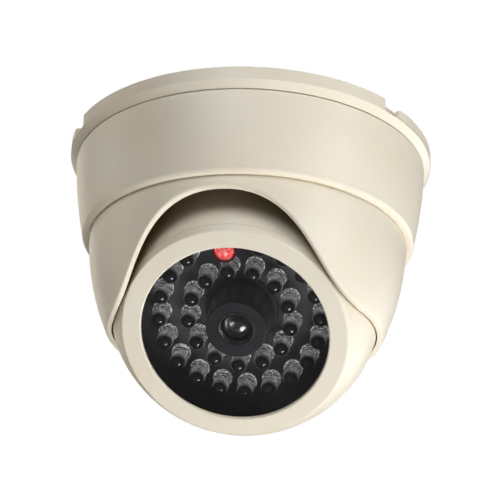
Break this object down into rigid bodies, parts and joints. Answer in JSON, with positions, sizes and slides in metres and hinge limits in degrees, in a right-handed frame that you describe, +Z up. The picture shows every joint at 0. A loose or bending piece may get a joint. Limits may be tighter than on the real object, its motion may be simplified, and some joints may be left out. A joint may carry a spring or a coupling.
{
  "type": "dome camera",
  "caption": "Ceiling dome camera: release-tab base, cover ring, turning hood with an arched opening, and a tilting eyeball with rings of lamps around a dummy lens.",
  "frame": {"origin": "centre of the base's flat ceiling face, on the axis the hood turns about", "axes": "+Z is up into the ceiling, the camera hangs towards -Z and looks towards -Y, and its two release tabs lie on the X axis"},
  "size_m": [0.11, 0.11, 0.0879],
  "materials": {
    "ivory_shell": "fine moulded satin",
    "inner_plastic": "plain moulded",
    "black_plastic": "satin",
    "gloss_black": "gloss",
    "board_black": "black solder mask",
    "board_green": "green solder mask",
    "clear_epoxy": "clear cast epoxy",
    "red_epoxy": "lit red cast epoxy",
    "clear_window": "polished",
    "lens_glass": "coated glass",
    "rubber": "matt",
    "zinc_steel": "zinc plated",
    "spring_steel": "bright nickel",
    "cell_sleeve": "printed sleeve",
    "washer_nylon": "natural nylon",
    "solder": "bright solder",
    "lead_sleeve": "flexible sleeve"
  },
  "bodies": {
    "base": {"base_plate": "ivory_shell", "cover_ring": "ivory_shell"},
    "release_tab_left": {"release_tab_left": "ivory_shell"},
    "release_tab_right": {"release_tab_right": "ivory_shell"},
    "hood": {"hood_shell": "ivory_shell", "hood_carrier": "inner_plastic", "carrier_screws": "zinc_steel", "slip_ring": "washer_nylon", "tilt_pivot_screws": "zinc_steel", "tilt_washers": "washer_nylon", "battery_tray": "black_plastic", "tray_screws": "zinc_steel", "battery_cells": "cell_sleeve", "battery_springs": "spring_steel", "battery_contacts": "spring_steel", "power_leads": "lead_sleeve"},
    "eye": {"eye_front_shell": "ivory_shell", "eye_rear_shell": "ivory_shell", "eye_shell_screws": "zinc_steel", "bezel_ring": "ivory_shell", "window": "clear_window", "window_gasket": "rubber", "lead_grommet": "rubber", "led_board": "board_black", "board_screws": "zinc_steel", "outer_leds": "clear_epoxy", "inner_leds": "clear_epoxy", "solder_joints": "solder", "indicator_led": "red_epoxy", "indicator_holder": "black_plastic", "lens_barrel": "gloss_black", "lens_element": "lens_glass", "lens_ring": "black_plastic", "blinker_board": "board_green", "blinker_parts": "black_plastic", "board_pillars": "washer_nylon", "pillar_screws": "zinc_steel"}
  },
  "joints": [
    {"name": "hood_turn", "type": "hinge", "parent": "base", "child": "hood", "pos_m": [0, 0, 0], "axis": [0, 0, 1], "continuous": true},
    {"name": "eye_tilt", "type": "hinge", "parent": "hood", "child": "eye", "pos_m": [0, 0, -0.0483], "axis": [1, 0, 0], "range_deg": [-30, 40], "deforming": ["power_leads"]},
    {"name": "left_tab_press", "type": "slide", "parent": "base", "child": "release_tab_left", "axis": [1, 0, 0], "range_m": [0, 0.0012], "stiffness_N_per_m": 300},
    {"name": "right_tab_press", "type": "slide", "parent": "base", "child": "release_tab_right", "axis": [-1, 0, 0], "range_m": [0, 0.0012], "stiffness_N_per_m": 300}
  ]
}
